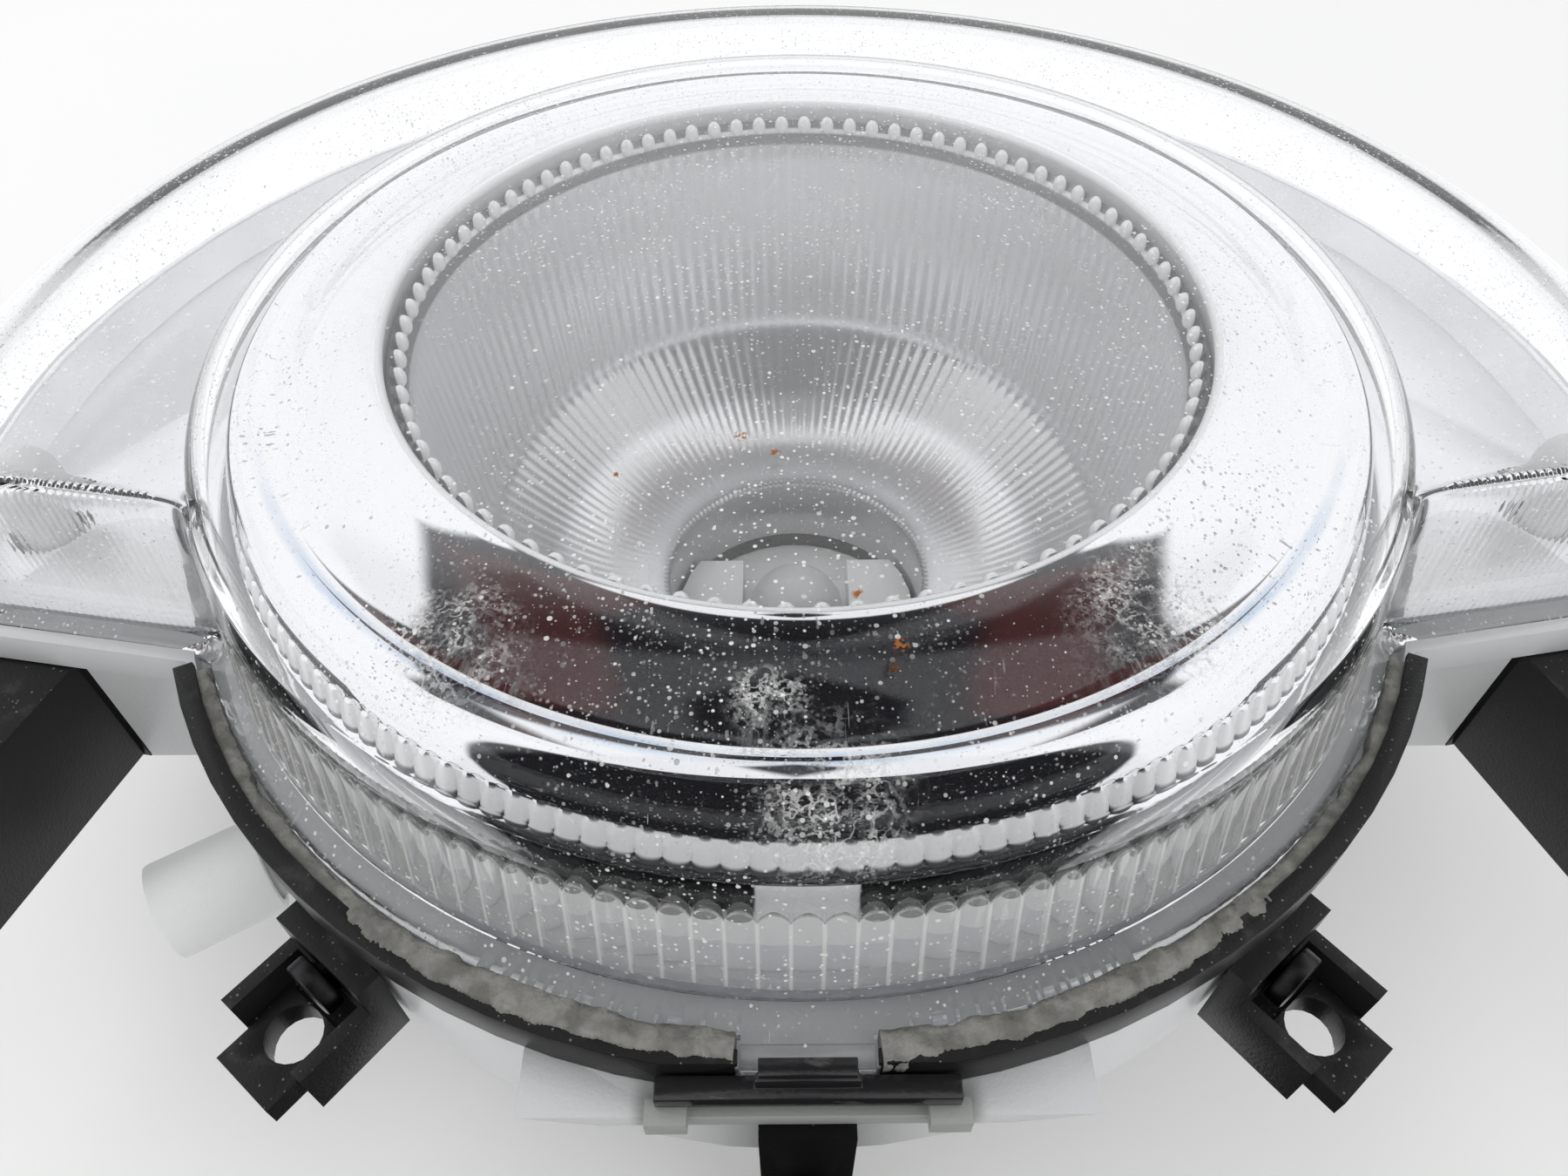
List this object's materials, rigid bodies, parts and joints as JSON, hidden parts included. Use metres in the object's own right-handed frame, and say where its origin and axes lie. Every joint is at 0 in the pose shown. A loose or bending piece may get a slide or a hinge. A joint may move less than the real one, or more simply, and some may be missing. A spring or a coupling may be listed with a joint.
{
  "type": "headlamp unit",
  "caption": "Scooter headlamp unit: clear drum lens with a wrap-round crescent, chrome bezel, tilting fluted reflector with bulb, side lamps, and a housing with mounting brackets.",
  "frame": {"origin": "centre of the bounding box's base; the unit lies on its back, on its leg and two rear stays", "axes": "+Z along the lens axis, out of the lens; +X to the right and -Y towards the clip, as pictured"},
  "size_m": [0.2386, 0.2086, 0.099],
  "materials": {
    "clear_plastic": "clear moulded polycarbonate",
    "chrome": "metallised plastic, mirror bright",
    "pale_plastic": "light grey moulded plastic",
    "white_plastic": "white moulded plastic",
    "black_plastic": "black moulded plastic, satin",
    "black_metal": "black lacquered spring steel",
    "butyl": "grey-brown sealing bead",
    "rubber": "black rubber",
    "steel": "zinc-plated steel",
    "brass": "bright brass",
    "grey_paint": "grey heat-proof paint",
    "glass": "clear lamp glass"
  },
  "bodies": {
    "housing": {"front_lens": "clear_plastic", "rear_housing": "pale_plastic", "rim_band": "black_plastic", "bezel_ring": "chrome", "rear_boot": "rubber", "breather_cap": "pale_plastic", "bottom_leg": "black_plastic", "leg_screw": "steel", "lens_seal_left": "butyl", "lens_seal_right": "butyl", "pivot_post_left": "white_plastic", "pivot_post_right": "white_plastic", "rear_stay_left": "pale_plastic", "rear_stay_right": "pale_plastic", "stay_insert_left": "brass", "stay_insert_right": "brass", "side_reflector_left": "chrome", "side_reflector_right": "chrome", "side_body_left": "black_plastic", "side_body_right": "black_plastic", "bracket_left": "black_plastic", "bracket_right": "black_plastic", "bracket_screw_left": "steel", "bracket_screw_right": "steel"},
    "reflector": {"main_reflector": "chrome", "adjuster_nut": "white_plastic", "holder_seal": "rubber"},
    "adjuster": {"adjuster_screw": "steel", "adjuster_knob": "white_plastic"},
    "bulb": {"bulb_holder": "white_plastic", "bulb_base": "steel", "bulb_glass": "glass", "bulb_cap": "grey_paint", "bulb_filament": "steel", "bulb_terminal_1": "brass", "bulb_terminal_2": "brass", "bulb_terminal_3": "brass"},
    "clip": {"lens_clip": "black_metal"},
    "side_lamp_left": {"side_socket_left": "pale_plastic", "side_bulb_left": "glass", "side_terminal_left_1": "brass", "side_terminal_left_2": "brass"},
    "side_lamp_right": {"side_socket_right": "pale_plastic", "side_bulb_right": "glass", "side_terminal_right_1": "brass", "side_terminal_right_2": "brass"}
  },
  "joints": [
    {"name": "reflector_tilt", "type": "hinge", "parent": "housing", "child": "reflector", "pos_m": [0, -0.0152, 0.084], "axis": [1, 0, 0], "range_deg": [-2, 2]},
    {"name": "adjuster_spin", "type": "hinge", "parent": "housing", "child": "adjuster", "pos_m": [0, -0.0752, 0.02], "axis": [0, 0, 1], "range_deg": [-195, 195]},
    {"name": "bulb_twist", "type": "hinge", "parent": "reflector", "child": "bulb", "pos_m": [0, -0.0152, 0.0309], "axis": [0, 0, 1], "range_deg": [0, 30]},
    {"name": "clip_release", "type": "hinge", "parent": "housing", "child": "clip", "pos_m": [0, -0.1001, 0.0651], "axis": [1, 0, 0], "range_deg": [0, 30], "stiffness_Nm_per_rad": 0.05},
    {"name": "side_lamp_left_twist", "type": "hinge", "parent": "housing", "child": "side_lamp_left", "pos_m": [-0.102, -0.0232, 0.04], "axis": [0, 0, 1], "range_deg": [0, 45]},
    {"name": "side_lamp_right_twist", "type": "hinge", "parent": "housing", "child": "side_lamp_right", "pos_m": [0.102, -0.0232, 0.04], "axis": [0, 0, 1], "range_deg": [0, 45]}
  ],
  "couplings": [
    {"joint": "adjuster_spin", "follows": "reflector_tilt", "ratio": 94.25}
  ]
}
